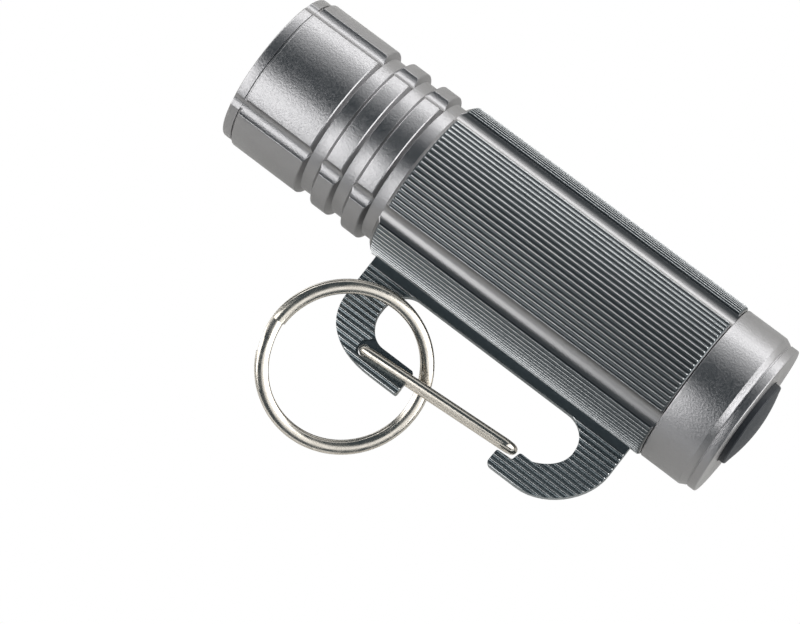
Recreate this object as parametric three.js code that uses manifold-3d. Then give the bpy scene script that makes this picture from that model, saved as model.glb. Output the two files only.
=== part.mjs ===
// Keychain flashlight: an extruded, ribbed grip with a carabiner plate on its side, a finned
// head, an unscrewing tail cap with a push button, a wire gate and a split ring.
// Millimetres. While it is built, X runs along the barrel from the front rim (x = 0) to the
// button, the barrel's axis is y = z = 0, and the carabiner plate lies in the plane z = 0
// towards -Y. The finished group is then moved so that its box stands centred on z = 0.
import * as THREE from 'three';
import { mergeVertices } from 'three/addons/utils/BufferGeometryUtils.js';
import Module from 'manifold-3d';

const wasm = await Module();
wasm.setup();

// ---- driving dimensions -------------------------------------------------------------------
const RIM_R = 13.02;             // bezel
const PANEL_R = 13.42;           // head panels and fin crowns
const NECK_R = 12.38;            // floor of the fin grooves, and the neck
const GRIP_R = 14;               // crests of the grip's ribs
const CAP_R = 13.7;
const END_RIM_R = 13.2;
const BUTTON_R = 7.27;

const BEZEL_END = 1.55;
const HEAD_START = 2.1;
const PANEL_END = 14.2;          // rear edge of the head panels' crown
const FIN_PITCH = 5.95;
const FIN_COUNT = 2;
const GRIP_START = 29.05;
const GRIP_END = 81.6;
const SPIGOT_END = 86.2;         // end of the grip's rear male thread
const CAP_START = 81.7;
const CAP_FACE = 91.55;
const BUTTON_EDGE = 92.5;
const BUTTON_TIP = 93.6;

const CHANNEL_RADIUS = 2.1;      // ball-nosed channel, four round the barrel
const CHANNEL_CENTRE = 14.75;    // its centre's distance from the barrel's axis

const BORE_R = 11.3;             // battery bore
const FRONT_SOCKET_R = 12;       // female thread that takes the head's spigot
const FRONT_SOCKET_END = 32.3;
const HEAD_SPIGOT_R = 11.85;
const HEAD_SPIGOT_END = 32;
const HEAD_BORE_R = 10.2;
const REAR_SPIGOT_R = 12.4;

const PLATE_T = 2.4;             // carabiner plate
const PLATE_LEFT = 31.2;
const PLATE_RIGHT = 80;
const PLATE_DEPTH = 29.4;        // the plate's outer edge, from the axis
const WINDOW_WALL = 15.68;       // the window's inner wall, from the axis
const HOOK_TOP = 24.88;          // upper edge of the hinge arm and of the tooth, from the axis
const ARM_END = 46.85;
const NOSE_START = 64.2;
const RECESS_FLOOR = 0.7;        // half of what is left of the plate under the gate's legs

const GATE_HINGE = new THREE.Vector2(38.8, -26.85);
const GATE_RISE = THREE.MathUtils.degToRad(3.65);
const GATE_WIRE_R = 0.8;
const GATE_LEG = 25.65;          // hinge to the centre of the end loop
const GATE_LEG_Z = 1.6;          // legs' centres, either side of the plate's middle

const RING_CENTRE = new THREE.Vector3(37.8, -30.55, -0.75);
const RING_NORMAL = new THREE.Vector3(0.421, -0.243, 0.874).normalize();
const RING_OUTER_R = 13.85;
const RING_INNER_R = 11.75;
const RING_HALF_T = 1;

const CELL_R = 5.15;             // AAA cell
const CELL_LENGTH = 44.5;
const CELL_ORBIT = 5.96;         // cell centres from the barrel's axis
const CARRIER_R = 10.9;
const CARRIER_FRONT = 32.35;
const CARRIER_REAR = 81;
const CARRIER_DISC = 1.6;

const BARREL_SEGMENTS = 40;

// ---- materials ----------------------------------------------------------------------------
function finish(color, roughness, metalness) {
  return new THREE.MeshStandardMaterial({ color, roughness, metalness });
}

const anodised = () => finish('#8b8d92', 0.42, 0.9);
const extrudedAnodised = () => finish('#5d6368', 0.45, 0.85);
const nickelSteel = () => finish('#b9b4aa', 0.18, 1);
const springSteel = () => finish('#a8a8a6', 0.3, 1);
const rubber = () => finish('#2c3236', 0.7, 0);
const darkPlastic = () => finish('#202224', 0.55, 0);
const whitePlastic = () => finish('#e6e5de', 0.5, 0);
const circuitBoard = () => finish('#1d5a3a', 0.5, 0);
const gold = () => finish('#c8a24a', 0.3, 1);

// ---- solids -------------------------------------------------------------------------------
function weld(geometry) {
  const bare = geometry.clone();
  bare.deleteAttribute('normal');
  bare.deleteAttribute('uv');
  const merged = mergeVertices(bare, 1e-4);
  const index = merged.index.array;
  const kept = [];
  for (let i = 0; i < index.length; i += 3) {
    const [a, b, c] = [index[i], index[i + 1], index[i + 2]];
    if (a !== b && b !== c && c !== a) kept.push(a, b, c);
  }
  merged.setIndex(kept);
  return merged;
}

function toManifold(geometry) {
  const welded = weld(geometry);
  return new wasm.Manifold(new wasm.Mesh({
    numProp: 3,
    vertProperties: new Float32Array(welded.attributes.position.array),
    triVerts: new Uint32Array(welded.index.array),
  }));
}

function toGeometry(manifold) {
  const mesh = manifold.getMesh();
  const geometry = new THREE.BufferGeometry();
  geometry.setAttribute('position', new THREE.BufferAttribute(mesh.vertProperties, 3));
  geometry.setIndex(new THREE.BufferAttribute(mesh.triVerts, 1));
  return geometry;
}

function cut(geometry, ...tools) {
  const start = toManifold(geometry);
  return toGeometry(tools.reduce((rest, tool) => rest.subtract(toManifold(tool)), start));
}

function join(geometry, ...others) {
  const start = toManifold(geometry);
  return toGeometry(others.reduce((sum, other) => sum.add(toManifold(other)), start));
}

// A turned piece: [x, radius] points, out along the front face, back along the bore.
function turned(profile, segments = BARREL_SEGMENTS) {
  const points = profile.map(([x, radius]) => new THREE.Vector2(radius, x));
  if (profile[0][1] > 0) points.push(points[0].clone());
  return weld(new THREE.LatheGeometry(points, segments).rotateZ(-Math.PI / 2));
}

function disc(start, end, radius, segments = 32) {
  return turned([[start, 0], [start, radius], [end, radius], [end, 0]], segments);
}

function washer(start, end, inner, outer, segments = 32) {
  return turned([[start, inner], [start, outer], [end, outer], [end, inner]], segments);
}

function rod(start, end, radius, y, z, segments = 16) {
  return disc(start, end, radius, segments).translate(0, y, z);
}

function sealRing(x, radius, section) {
  const profile = [];
  const sides = 6;
  for (let i = 0; i < sides; i += 1) {
    const angle = -Math.PI / 2 + (2 * Math.PI * (i + 0.5)) / sides;
    profile.push([x + section * Math.sin(angle), radius + section * Math.cos(angle)]);
  }
  return turned(profile, 36);
}

function wire(path, radius, steps, sides = 8) {
  const section = new THREE.Shape();
  for (let i = 0; i < sides; i += 1) {
    const angle = (2 * Math.PI * i) / sides;
    section[i ? 'lineTo' : 'moveTo'](radius * Math.cos(angle), radius * Math.sin(angle));
  }
  const swept = { steps, extrudePath: path, bevelEnabled: false };
  return weld(new THREE.ExtrudeGeometry(section, swept));
}

class Coil extends THREE.Curve {
  constructor(start, end, startRadius, endRadius, turns) {
    super();
    Object.assign(this, { start, end, startRadius, endRadius, turns });
  }

  getPoint(t, target = new THREE.Vector3()) {
    const radius = THREE.MathUtils.lerp(this.startRadius, this.endRadius, t);
    const angle = 2 * Math.PI * this.turns * t;
    const x = THREE.MathUtils.lerp(this.start, this.end, t);
    return target.set(x, radius * Math.cos(angle), radius * Math.sin(angle));
  }
}

function coilSpring(start, end, startRadius, endRadius, turns, wireRadius) {
  const coil = new Coil(start + wireRadius, end - wireRadius, startRadius, endRadius, turns);
  return wire(coil, wireRadius, Math.round(turns * 11), 5);
}

// The four channels lie midway between the carabiner plate and its normal.
function channelCutters(start, end) {
  return [1, 3, 5, 7].map((eighth) => {
    const angle = (eighth * Math.PI) / 4;
    const y = CHANNEL_CENTRE * Math.cos(angle);
    const z = CHANNEL_CENTRE * Math.sin(angle);
    return rod(start, end, CHANNEL_RADIUS, y, z, 20);
  });
}

// ---- the model ----------------------------------------------------------------------------
const flashlight = new THREE.Group();

function add(name, geometry, material, parent = flashlight) {
  const mesh = new THREE.Mesh(geometry, material);
  mesh.name = name;
  parent.add(mesh);
  return mesh;
}

// ---- head ---------------------------------------------------------------------------------
function finGroove(start) {
  return [
    [start, PANEL_R], [start + 0.35, 12.85], [start + 0.75, 12.5], [start + 1.1, NECK_R],
    [start + 2.1, NECK_R], [start + 2.55, 12.6], [start + 3.1, 13.28], [start + 3.35, PANEL_R],
  ];
}

function headGeometry() {
  const grooves = [];
  for (let i = 0; i < FIN_COUNT; i += 1) grooves.push(...finGroove(PANEL_END + i * FIN_PITCH));
  const neckStart = PANEL_END + FIN_COUNT * FIN_PITCH;
  const body = turned([
    [HEAD_START, 12.15], [HEAD_START, 13.05], [HEAD_START + 0.35, PANEL_R],
    ...grooves,
    ...finGroove(neckStart).slice(0, 4),
    [GRIP_START - 0.05, NECK_R], [GRIP_START - 0.05, HEAD_SPIGOT_R],
    [29.5, HEAD_SPIGOT_R], [29.5, 11.2], [30.5, 11.2], [30.5, HEAD_SPIGOT_R],
    [HEAD_SPIGOT_END, HEAD_SPIGOT_R], [HEAD_SPIGOT_END, HEAD_BORE_R],
    [24.6, HEAD_BORE_R], [24.6, 10.6], [13.8, 10.6], [13.8, 11.6], [4.6, 11.6], [4.6, 12.15],
  ]);
  return cut(body, ...channelCutters(HEAD_START - 1, GRIP_START - 1));
}

function bezelGeometry() {
  const ring = turned([
    [0, 10.9], [0, RIM_R - 0.25], [0.25, RIM_R], [BEZEL_END, RIM_R], [BEZEL_END, 12],
    [4.3, 12], [4.3, 11.2], [0.9, 11.2], [0.9, 10.9],
  ]);
  return cut(ring, ...channelCutters(-1, BEZEL_END + 1));
}

function reflectorGeometry() {
  const front = { x: 3.75, r: 10.4 };
  const back = { x: 13, r: 2.6 };
  const steps = 7;
  const bowl = [];
  for (let i = 0; i <= steps; i += 1) {
    const x = THREE.MathUtils.lerp(back.x, front.x, i / steps);
    const share = (back.x - x) / (back.x - front.x);
    bowl.push([x, Math.sqrt(THREE.MathUtils.lerp(back.r ** 2, front.r ** 2, share))]);
  }
  const shell = bowl.slice(1, -1).reverse().map(([x, r]) => [x, Math.min(r + 0.75, 10.95)]);
  return turned([
    [front.x, 11.05], [4.6, 11.05], ...shell.slice(1), [back.x, back.r + 1.4], ...bowl,
  ], 32);
}

function heatSinkGeometry() {
  const pill = turned([
    [15.7, 0], [15.7, 10.45], [24, 10.45], [24, 9], [18, 9], [18, 0],
  ], 32);
  return cut(pill, ...[-1, 1].map((side) => rod(15, 19, 0.9, 6 * side, 0)));
}

function ledBoardGeometry() {
  return cut(disc(14.4, 15.6, 10, 40), ...[-1, 1].map((side) => rod(14, 16, 0.9, 6 * side, 0)));
}

add('bezel_ring', bezelGeometry(), anodised());
add('lens', disc(1, 2.6, 11.05, 40), finish('#dfe8ea', 0.05, 0));
add('lens_gasket', sealRing(3.15, 10.55, 0.42), rubber());
add('reflector', reflectorGeometry(), finish('#e8e8ea', 0.08, 1));
add('led_centring_ring', washer(13.1, 14.2, 2.6, 4.4, 24), whitePlastic());
add('led_package', new THREE.BoxGeometry(0.7, 3.4, 3.4).translate(13.98, 0, 0), whitePlastic());
add('led_dome', turned([
  [12.25, 0], [12.4, 0.65], [12.8, 1.1], [13.3, 1.35], [13.58, 1.35], [13.58, 0],
], 20), finish('#f3e27a', 0.1, 0));
add('led_board', ledBoardGeometry(), finish('#eceae2', 0.5, 0));
add('heat_sink', heatSinkGeometry(), finish('#b08d57', 0.4, 1));
add('led_wire_positive', rod(14.1, 20.35, 0.55, 6, 0, 10), finish('#a02020', 0.5, 0));
add('led_wire_negative', rod(14.1, 20.35, 0.55, -6, 0, 10), finish('#191919', 0.5, 0));
add('driver_inductor', disc(18.4, 20.35, 2.3, 20), finish('#303030', 0.6, 0.2));
add('driver_board', disc(20.4, 21.6, 8.8), circuitBoard());
add('driver_contact_spring', coilSpring(21.65, CARRIER_FRONT - 0.4, 3.8, 2.2, 5, 0.3), gold());
add('head', headGeometry(), anodised());
add('head_o_ring', sealRing(30, 11.58, 0.3), rubber());

// ---- grip and carabiner plate ---------------------------------------------------------------
// A quarter turn from one straight edge to another; fullness 0.55 is round, less is flatter.
function corner(path, x, y, viaX, viaY, fullness) {
  const from = path.currentPoint.clone();
  const c1 = new THREE.Vector2(viaX, viaY).lerp(from, 1 - fullness);
  const c2 = new THREE.Vector2(viaX, viaY).lerp(new THREE.Vector2(x, y), 1 - fullness);
  path.bezierCurveTo(c1.x, c1.y, c2.x, c2.y, x, y);
}

function plateOutline() {
  const root = -(BORE_R + 1);
  const edge = -PLATE_DEPTH;
  const top = -HOOK_TOP;
  const outline = new THREE.Shape();
  outline.moveTo(PLATE_LEFT, root);
  outline.lineTo(PLATE_LEFT, -21.3);
  corner(outline, 41.8, edge, PLATE_LEFT, edge, 0.36);
  outline.lineTo(ARM_END - 0.4, edge);
  outline.lineTo(ARM_END, edge + 0.4);
  outline.lineTo(ARM_END, top - 0.4);
  outline.lineTo(ARM_END - 0.4, top);
  outline.lineTo(40.85, top);
  corner(outline, 37.05, -20.6, 37.05, top, 0.5);
  outline.lineTo(37.05, -19.9);
  corner(outline, 40.85, -WINDOW_WALL, 37.05, -WINDOW_WALL, 0.45);
  outline.lineTo(69.4, -WINDOW_WALL);
  corner(outline, 73.7, -19.9, 73.7, -WINDOW_WALL, 0.58);
  outline.bezierCurveTo(73.7, -22.3, 71.7, -23.8, 69.6, top);
  outline.lineTo(67.6, top);
  outline.lineTo(67, -25.6);
  outline.lineTo(66.95, -26.45);
  outline.lineTo(NOSE_START + 0.15, -26.6);
  outline.lineTo(NOSE_START - 0.05, -27);
  outline.lineTo(NOSE_START, -28.5);
  outline.lineTo(NOSE_START + 0.6, edge);
  outline.lineTo(69.8, edge);
  corner(outline, PLATE_RIGHT, -19.3, PLATE_RIGHT, edge, 0.55);
  outline.lineTo(PLATE_RIGHT, root);
  return outline;
}

// The gate's legs lie in a shallow recess on each face of the hinge arm.
function gateRecess(side) {
  const left = GATE_HINGE.x - 1.2;
  const outline = new THREE.Shape();
  outline.moveTo(ARM_END + 1, -HOOK_TOP + 1);
  outline.lineTo(left + 2, -HOOK_TOP + 1);
  outline.lineTo(left, GATE_HINGE.y + 1);
  corner(outline, left + 1.2, GATE_HINGE.y - 1.2, left, GATE_HINGE.y - 1.2, 0.55);
  outline.lineTo(ARM_END + 1, GATE_HINGE.y - 1.2);
  const depth = 2;
  const block = new THREE.ExtrudeGeometry(outline, { depth, bevelEnabled: false, curveSegments: 5 });
  return block.translate(0, 0, side > 0 ? RECESS_FLOOR : -RECESS_FLOOR - depth);
}

function gripGeometry() {
  const tube = turned([
    [GRIP_START, FRONT_SOCKET_R], [GRIP_START, 13.1], [GRIP_START + 0.9, GRIP_R],
    [GRIP_END - 0.5, GRIP_R], [GRIP_END, 13.5], [GRIP_END, REAR_SPIGOT_R],
    [82.2, REAR_SPIGOT_R], [82.2, 11.95], [83.2, 11.95], [83.2, REAR_SPIGOT_R],
    [SPIGOT_END - 0.2, REAR_SPIGOT_R], [SPIGOT_END, 12.2], [SPIGOT_END, BORE_R],
    [FRONT_SOCKET_END, BORE_R], [FRONT_SOCKET_END, FRONT_SOCKET_R],
  ]);
  const plate = new THREE.ExtrudeGeometry(plateOutline(), {
    depth: PLATE_T, bevelEnabled: false, curveSegments: 10,
  }).translate(0, 0, -PLATE_T / 2);
  const holeR = GATE_WIRE_R + 0.18;
  const hingeHole = new THREE.CylinderGeometry(holeR, holeR, 6, 20).rotateX(Math.PI / 2);
  hingeHole.translate(GATE_HINGE.x, GATE_HINGE.y, 0);
  const channels = channelCutters(GRIP_START - 1, GRIP_END + 0.3);
  return cut(join(tube, plate), ...channels, gateRecess(1), gateRecess(-1), hingeHole);
}

add('grip_body', gripGeometry(), extrudedAnodised());

// ---- wire gate ------------------------------------------------------------------------------
function gateGeometry() {
  const along = new THREE.Vector3(Math.cos(GATE_RISE), Math.sin(GATE_RISE), 0);
  const hinge = new THREE.Vector3(GATE_HINGE.x, GATE_HINGE.y, 0);
  const at = (distance, z) => hinge.clone().addScaledVector(along, distance).setZ(z);
  const z = GATE_LEG_Z;
  const bend = 1;                  // bend radius at the hinge
  const endGap = 0.15;             // half the gap between the wire's two ends
  const reach = GATE_LEG + z;
  const full = GATE_LEG + 0.55 * z;
  const path = new THREE.CurvePath();
  path.add(new THREE.LineCurve3(at(0, endGap), at(0, z - bend)));
  path.add(new THREE.QuadraticBezierCurve3(at(0, z - bend), at(0, z), at(bend, z)));
  path.add(new THREE.LineCurve3(at(bend, z), at(GATE_LEG, z)));
  path.add(new THREE.CubicBezierCurve3(at(GATE_LEG, z), at(full, z), at(reach, 0.55 * z), at(reach, 0)));
  path.add(new THREE.CubicBezierCurve3(at(reach, 0), at(reach, -0.55 * z), at(full, -z), at(GATE_LEG, -z)));
  path.add(new THREE.LineCurve3(at(GATE_LEG, -z), at(bend, -z)));
  path.add(new THREE.QuadraticBezierCurve3(at(bend, -z), at(0, -z), at(0, bend - z)));
  path.add(new THREE.LineCurve3(at(0, bend - z), at(0, -endGap)));
  return wire(path, GATE_WIRE_R, 72);
}

add('gate_wire', gateGeometry(), nickelSteel());

// ---- split ring -----------------------------------------------------------------------------
function ringGeometry() {
  const soft = 0.45;
  return turned([
    [-RING_HALF_T, RING_INNER_R + soft], [-RING_HALF_T, RING_OUTER_R - soft],
    [soft - RING_HALF_T, RING_OUTER_R], [RING_HALF_T - soft, RING_OUTER_R],
    [RING_HALF_T, RING_OUTER_R - soft], [RING_HALF_T, RING_INNER_R + soft],
    [RING_HALF_T - soft, RING_INNER_R], [soft - RING_HALF_T, RING_INNER_R],
  ]);
}

const splitRing = add('split_ring', ringGeometry(), nickelSteel());
splitRing.quaternion.setFromUnitVectors(new THREE.Vector3(1, 0, 0), RING_NORMAL);
splitRing.position.copy(RING_CENTRE);

// ---- cells and their carrier ------------------------------------------------------------------
function around(third, radius) {
  const angle = (third * 2 * Math.PI) / 3;
  return [radius * Math.cos(angle), radius * Math.sin(angle)];
}

function carrierGeometry() {
  const rails = [0.5, 1.5, 2.5].map((third) => {
    const [y, z] = around(third, 9.55);
    return rod(CARRIER_FRONT + 0.8, CARRIER_REAR - 0.8, 1.2, y, z, 12);
  });
  const frontDisc = disc(CARRIER_FRONT, CARRIER_FRONT + CARRIER_DISC, CARRIER_R);
  const rearDisc = disc(CARRIER_REAR - CARRIER_DISC, CARRIER_REAR, CARRIER_R);
  return join(frontDisc, rearDisc, ...rails);
}

function cellGeometry() {
  const nub = 0.8;
  const shoulder = CELL_LENGTH - nub;
  return turned([
    [0, 0], [0, CELL_R - 0.3], [0.3, CELL_R], [shoulder - 0.3, CELL_R], [shoulder, CELL_R - 0.4],
    [shoulder, 1.9], [CELL_LENGTH, 1.9], [CELL_LENGTH, 0],
  ], 24);
}

add('carrier_frame', carrierGeometry(), darkPlastic());
add('carrier_front_contact', disc(CARRIER_FRONT - 0.35, CARRIER_FRONT - 0.05, 3.2, 20), gold());
add('carrier_rear_contact', disc(CARRIER_REAR + 0.05, CARRIER_REAR + 0.35, 3.4, 20), gold());
for (let i = 0; i < 3; i += 1) {
  const [y, z] = around(i, CELL_ORBIT);
  const turnedRound = i === 1;
  const inside = CARRIER_FRONT + CARRIER_DISC + 0.1;
  const outside = CARRIER_REAR - CARRIER_DISC - 0.1;
  const cell = add(`cell_${i + 1}`, cellGeometry(), finish('#2f5d8c', 0.35, 0.4));
  cell.rotation.y = turnedRound ? 0 : Math.PI;
  cell.position.set(turnedRound ? outside - CELL_LENGTH : inside + CELL_LENGTH, y, z);
  const gapStart = turnedRound ? inside : inside + CELL_LENGTH + 0.05;
  const gapEnd = turnedRound ? outside - CELL_LENGTH - 0.05 : outside;
  const coil = coilSpring(gapStart, gapEnd, 3, 2, 1.1, 0.15);
  add(`carrier_spring_${i + 1}`, coil, springSteel()).position.set(0, y, z);
}

// ---- tail cap and switch ------------------------------------------------------------------------
function capGeometry() {
  return turned([
    [CAP_START, 12.6], [CAP_START, CAP_R - 0.2], [CAP_START + 0.2, CAP_R], [88.9, CAP_R],
    [89.9, END_RIM_R], [91.3, END_RIM_R], [CAP_FACE, END_RIM_R - 0.25], [CAP_FACE, 7.45],
    [89.7, 7.45], [89.7, 10.4], [82.6, 10.4], [82.6, 11.1], [86.6, 11.1], [86.6, 12.6],
  ]);
}

function buttonGeometry() {
  const crown = BUTTON_TIP - BUTTON_EDGE;
  const dome = [];
  const steps = 6;
  for (let i = 0; i <= steps; i += 1) {
    const r = BUTTON_R * (1 - i / steps);
    dome.push([BUTTON_EDGE + crown * (1 - (r / BUTTON_R) ** 2), r]);
  }
  return turned([
    [88.75, 6.2], [88.75, 10.15], [89.6, 10.15], [89.6, BUTTON_R], ...dome,
    [92.4, 0], [92.4, 6.2],
  ], 32);
}

function plungerGeometry() {
  return turned([
    [86.3, 0], [86.3, 1.9], [91.45, 1.9], [91.45, 5.5], [92.3, 5.5], [92.3, 0],
  ], 24);
}

function switchHousingGeometry() {
  return turned([[84.7, 2.1], [84.7, 10.1], [87, 10.1], [87, 4], [85.2, 4], [85.2, 2.1]]);
}

add('tail_o_ring', sealRing(82.7, 12.27, 0.25), rubber());
add('tail_cap', capGeometry(), anodised());
add('rubber_button', buttonGeometry(), rubber());
add('switch_plunger', plungerGeometry(), whitePlastic());
add('switch_spring', coilSpring(87.3, 91.4, 3, 3, 4, 0.2), springSteel());
add('switch_housing', switchHousingGeometry(), darkPlastic());
add('switch_board', disc(83.9, 84.6, 10.1), circuitBoard());
add('switch_retaining_ring', washer(82.8, 83.8, 8.6, 10.2, 40), finish('#9a9a9a', 0.35, 1));
add('tail_contact_spring', coilSpring(CARRIER_REAR + 0.4, 83.85, 3.4, 2.4, 2.2, 0.25), gold());

// ---- stand the box centred on z = 0 ----------------------------------------------------------
const box = new THREE.Box3().setFromObject(flashlight, true);
const middle = box.getCenter(new THREE.Vector3());
flashlight.position.set(-middle.x, -middle.y, -box.min.z);

export default flashlight;
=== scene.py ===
# The looks of a keychain flashlight: blasted and anodised head and tail cap, an extruded ribbed
# grip with a carabiner plate, a nickel-plated wire gate and split ring, and a rubber button.
# Shapes are built in millimetres in the barrel's own frame: x from the front rim to the button,
# y and z from the barrel's axis, the carabiner plate towards -y. They are then put in the row frame.
import math

import bpy
import numpy as np
from mathutils import Matrix, Vector


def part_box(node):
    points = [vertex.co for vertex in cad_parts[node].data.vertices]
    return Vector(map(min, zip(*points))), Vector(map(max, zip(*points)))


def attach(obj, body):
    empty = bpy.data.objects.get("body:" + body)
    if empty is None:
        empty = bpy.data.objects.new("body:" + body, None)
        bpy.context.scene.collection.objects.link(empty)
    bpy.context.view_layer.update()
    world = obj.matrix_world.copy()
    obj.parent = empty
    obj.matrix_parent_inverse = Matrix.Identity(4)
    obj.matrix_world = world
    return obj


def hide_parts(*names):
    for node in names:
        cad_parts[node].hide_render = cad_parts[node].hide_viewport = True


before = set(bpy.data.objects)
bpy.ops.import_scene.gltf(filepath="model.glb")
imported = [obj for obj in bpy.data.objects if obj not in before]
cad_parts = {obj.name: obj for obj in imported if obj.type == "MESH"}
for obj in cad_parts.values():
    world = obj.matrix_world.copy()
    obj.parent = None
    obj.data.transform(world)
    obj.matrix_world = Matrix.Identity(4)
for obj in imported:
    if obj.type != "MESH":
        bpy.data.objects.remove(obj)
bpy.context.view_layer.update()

MM = 0.001
TURN = 2 * math.pi

# ---- where the CAD parts are ---------------------------------------------------------------
cap_low, cap_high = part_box("tail_cap")
FRONT_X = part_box("bezel_ring")[0].x
BARREL = Vector((FRONT_X, (cap_low.y + cap_high.y) / 2, (cap_low.z + cap_high.z) / 2))
TO_ROW_FRAME = Matrix.Translation(BARREL) @ Matrix.Scale(MM, 4)


def along(node):
    """A node's start and end along the barrel, in millimetres from the front rim."""
    low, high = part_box(node)
    return (low.x - FRONT_X) / MM, (high.x - FRONT_X) / MM


GRIP_START = along("grip_body")[0]
SPIGOT_END = along("grip_body")[1]
CAP_START, CAP_FACE = along("tail_cap")
BUTTON_TIP = along("rubber_button")[1]
GRIP_END = CAP_START - 0.1

# ---- sizes, in millimetres -----------------------------------------------------------------
RIM_R = 13.02                    # bezel
PANEL_R = 13.42                  # the head's panels and the crowns of its fins
NECK_R = 12.38                   # floor of the fin grooves, and the neck
GRIP_R = 14                      # crests of the grip's ribs
CAP_R = (cap_high.z - cap_low.z) / 2 / MM
END_RIM_R = 13.2
BORE_R = 11.3                    # battery bore
SPIGOT_R = 12.4                  # crests of the tail thread
BUTTON_R = 7.27

BEZEL_SEAT = 1.7                 # where the head's lip meets the bezel
FIRST_GROOVE = 14.4              # rear edge of the head's panels
FIN_PITCH = 5.95
SEAL_GROOVE = (82.2, 83.2)       # start and end of the tail seal's groove
BUTTON_EDGE = 92.5               # where the button's crown starts

CHANNEL_R = 2.1
CHANNEL_CENTRE = 14.75           # from the barrel's axis

RIB_STEP = TURN / 102            # one rib of the grip
RIBS_PER_QUARTER = 22            # the outer two are halved by the channels
RIB_DEPTH = 0.28
RIB_CREST_R = 0.085
RIB_SAMPLES = (0, 0.04, 0.068, RIB_CREST_R, 0.12, 0.18, 0.27)    # drawn distances from a rib's middle
PLATE_RIBS = 17                  # the last one lies past the plate's edge and is trimmed away
PLATE_RIB_PITCH = 0.9
THREAD_PITCH = 1.0
THREAD_DEPTH = 0.45

PLATE_HALF_T = 1.2
PLATE_EDGE = 29.4                # outer edge of the plate, from the axis
PLATE_ROUND = 0.25               # rounding along the plate's edges
WINDOW_WALL = 15.68              # the window's inner wall, from the axis
HOOK_TOP = 24.88                 # upper edge of the hinge arm and of the nose, from the axis
ARM_END = 46.85
RECESS_FLOOR = 0.7               # half of what is left of the plate under the gate's legs
GATE_HINGE = (38.8, -26.85)
GATE_RISE = math.radians(3.65)   # the gate leans towards the barrel
GATE_WIRE_R = 0.8
GATE_LEG = 25.65                 # hinge to the centre of the end loop
GATE_LEG_Z = 1.6                 # legs' centres, either side of the plate's middle

RING_CENTRE = Vector((37.8, -30.55, -0.75))
RING_NORMAL = Vector((0.421, -0.243, 0.874)).normalized()
RING_PATH_R = 12.8
RING_WIRE_HALF = (1.05, 0.47)    # radial and axial half sizes of the flattened wire
RING_LEAD = 1                    # from one coil's middle to the next


# ---- meshes --------------------------------------------------------------------------------
def solid(name, points, faces):
    """A mesh object from its points and faces."""
    mesh = bpy.data.meshes.new(name)
    mesh.from_pydata([tuple(map(float, p)) for p in points], [], [tuple(f) for f in faces])
    mesh.update()
    obj = bpy.data.objects.new(name, mesh)
    bpy.context.scene.collection.objects.link(obj)
    return obj


def combine(base, other, operation):
    """Joins, cuts or intersects two closed meshes; the result is a plain mesh."""
    modifier = base.modifiers.new("combine", "BOOLEAN")
    modifier.operation = operation
    modifier.solver = "MANIFOLD"
    modifier.object = other
    graph = bpy.context.evaluated_depsgraph_get()
    result = bpy.data.meshes.new_from_object(base.evaluated_get(graph))
    base.modifiers.clear()
    base.data = result
    bpy.data.objects.remove(other)
    return base


def place(obj, body, look, replaced, crease=32):
    """Moves a finished shape from the barrel's millimetres to the row frame and lets it ride."""
    mesh = obj.data
    mesh.transform(TO_ROW_FRAME)
    mesh.polygons.foreach_set("use_smooth", [True] * len(mesh.polygons))
    mesh.set_sharp_from_angle(angle=math.radians(crease))
    mesh.materials.clear()
    mesh.materials.append(look)
    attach(obj, body)
    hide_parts(*replaced)


def rounded(corners, steps=4, closed=True):
    """Rounds an outline's corners, each given as (x, y, radius)."""
    longest = 0.48                   # share of an edge that one corner may take
    points = []
    count = len(corners)
    for i, (x, y, radius) in enumerate(corners):
        here = Vector((x, y))
        at_end = not closed and i in (0, count - 1)
        if radius == 0 or at_end:
            points.append(here)
            continue
        before = Vector(corners[i - 1][:2]) - here
        after = Vector(corners[(i + 1) % count][:2]) - here
        reach = radius / math.tan(before.angle(after) / 2)
        reach = min(reach, longest * before.length, longest * after.length)
        start = here + before.normalized() * reach
        end = here + after.normalized() * reach
        for k in range(steps + 1):
            t = k / steps
            points.append(start * (1 - t) ** 2 + here * 2 * t * (1 - t) + end * t * t)
    return points


def revolve(name, profile, angles, radius_at=None):
    """A closed outline of (x, radius) points turned round the barrel's axis.

    A profile that starts and ends on the axis makes a full piece, any other makes a ring.
    radius_at(x, radii, angles) may shape each row; angles is one list for all rows, or a
    function of a row's radius.
    """
    on_axis = profile[0][1] == 0
    rows = profile[1:-1] if on_axis else profile
    points = []
    for x, radius in rows:
        row_angles = angles(radius) if callable(angles) else angles
        radii = np.full(len(row_angles), float(radius))
        if radius_at:
            radii = radius_at(x, radii, row_angles)
        for r, angle in zip(radii, row_angles):
            points.append((x, r * math.cos(angle), r * math.sin(angle)))
    columns = len(row_angles)
    count = len(rows)
    faces = []
    for i in range(count - 1 if on_axis else count):
        here, there = i * columns, (i + 1) % count * columns
        for j in range(columns):
            k = (j + 1) % columns
            faces.append((here + j, here + k, there + k, there + j))
    if on_axis:
        first, last = len(points), len(points) + 1
        points += [(profile[0][0], 0, 0), (profile[-1][0], 0, 0)]
        end = (count - 1) * columns
        for j in range(columns):
            k = (j + 1) % columns
            faces.append((first, k, j))
            faces.append((last, end + j, end + k))
    return solid(name, points, faces)


def evenly(count):
    """Angles of a full turn in equal steps."""
    return [TURN * i / count for i in range(count)]


def soft_min(a, b, blend):
    """The smaller of two radii, with a small rounding where they cross."""
    share = np.clip(blend - np.abs(a - b), 0, None) / blend
    return np.minimum(a, b) - share ** 2 * blend / 4


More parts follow.
